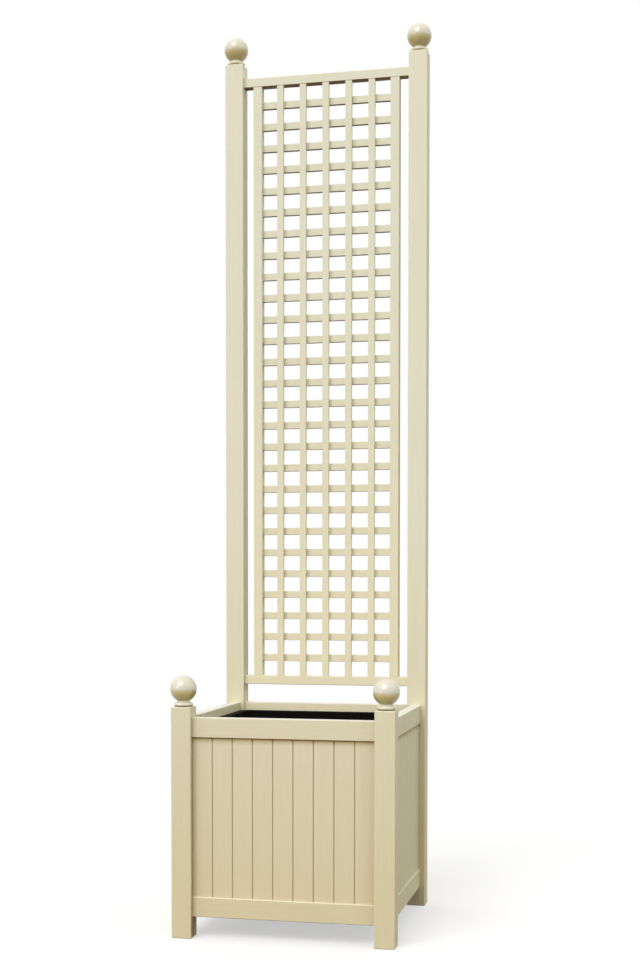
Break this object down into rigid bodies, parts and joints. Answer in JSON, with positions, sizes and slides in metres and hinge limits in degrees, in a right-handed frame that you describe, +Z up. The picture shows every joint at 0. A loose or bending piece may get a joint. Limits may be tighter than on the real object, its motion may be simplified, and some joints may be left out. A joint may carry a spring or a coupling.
{
  "type": "planter with trellis",
  "caption": "Square timber planter with vertical board sides, a lift-out liner, ball finials and a tall lattice trellis between its two long back posts.",
  "frame": {"origin": "on the floor, under the middle of the square plan", "axes": "+X to the right as seen from the front, +Y from the front to the trellis at the back, +Z up"},
  "size_m": [0.514, 0.514, 2.1275],
  "materials": {
    "painted_frame": "satin cream paint on planed timber",
    "painted_boards": "satin cream paint on tongue-and-groove boards",
    "painted_trellis": "satin cream paint on planed laths",
    "painted_finial": "glossier cream paint on turned timber",
    "liner_plastic": "matt black moulded plastic",
    "bare_timber": "unpainted sawn softwood"
  },
  "bodies": {
    "planter": {"base_bearer_back": "bare_timber", "base_bearer_front": "bare_timber", "base_slats": "bare_timber", "boards_back": "painted_boards", "boards_front": "painted_boards", "boards_left": "painted_boards", "boards_right": "painted_boards", "finial_back_left": "painted_finial", "finial_back_right": "painted_finial", "finial_front_left": "painted_finial", "finial_front_right": "painted_finial", "lath_cross_01": "painted_trellis", "lath_cross_02": "painted_trellis", "lath_cross_03": "painted_trellis", "lath_cross_04": "painted_trellis", "lath_cross_05": "painted_trellis", "lath_cross_06": "painted_trellis", "lath_cross_07": "painted_trellis", "lath_cross_08": "painted_trellis", "lath_cross_09": "painted_trellis", "lath_cross_10": "painted_trellis", "lath_cross_11": "painted_trellis", "lath_cross_12": "painted_trellis", "lath_cross_13": "painted_trellis", "lath_cross_14": "painted_trellis", "lath_cross_15": "painted_trellis", "lath_cross_16": "painted_trellis", "lath_cross_17": "painted_trellis", "lath_cross_18": "painted_trellis", "lath_cross_19": "painted_trellis", "lath_cross_20": "painted_trellis", "lath_cross_21": "painted_trellis", "lath_cross_22": "painted_trellis", "lath_cross_23": "painted_trellis", "lath_cross_24": "painted_trellis", "lath_cross_25": "painted_trellis", "lath_cross_26": "painted_trellis", "lath_cross_27": "painted_trellis", "lath_upright_1": "painted_trellis", "lath_upright_2": "painted_trellis", "lath_upright_3": "painted_trellis", "lath_upright_4": "painted_trellis", "lath_upright_5": "painted_trellis", "post_back_left": "painted_frame", "post_back_right": "painted_frame", "post_front_left": "painted_frame", "post_front_right": "painted_frame", "rail_bottom_back": "painted_frame", "rail_bottom_front": "painted_frame", "rail_bottom_left": "painted_frame", "rail_bottom_right": "painted_frame", "rail_top_back": "painted_frame", "rail_top_front": "painted_frame", "rail_top_left": "painted_frame", "rail_top_right": "painted_frame", "trellis_rail_bottom": "painted_trellis", "trellis_rail_top": "painted_trellis", "trellis_stile_left": "painted_trellis", "trellis_stile_right": "painted_trellis"},
    "liner": {"liner": "liner_plastic"}
  },
  "joints": [
    {"name": "liner_lift", "type": "slide", "parent": "planter", "child": "liner", "axis": [0, 0, 1], "range_m": [0, 0.51]}
  ]
}
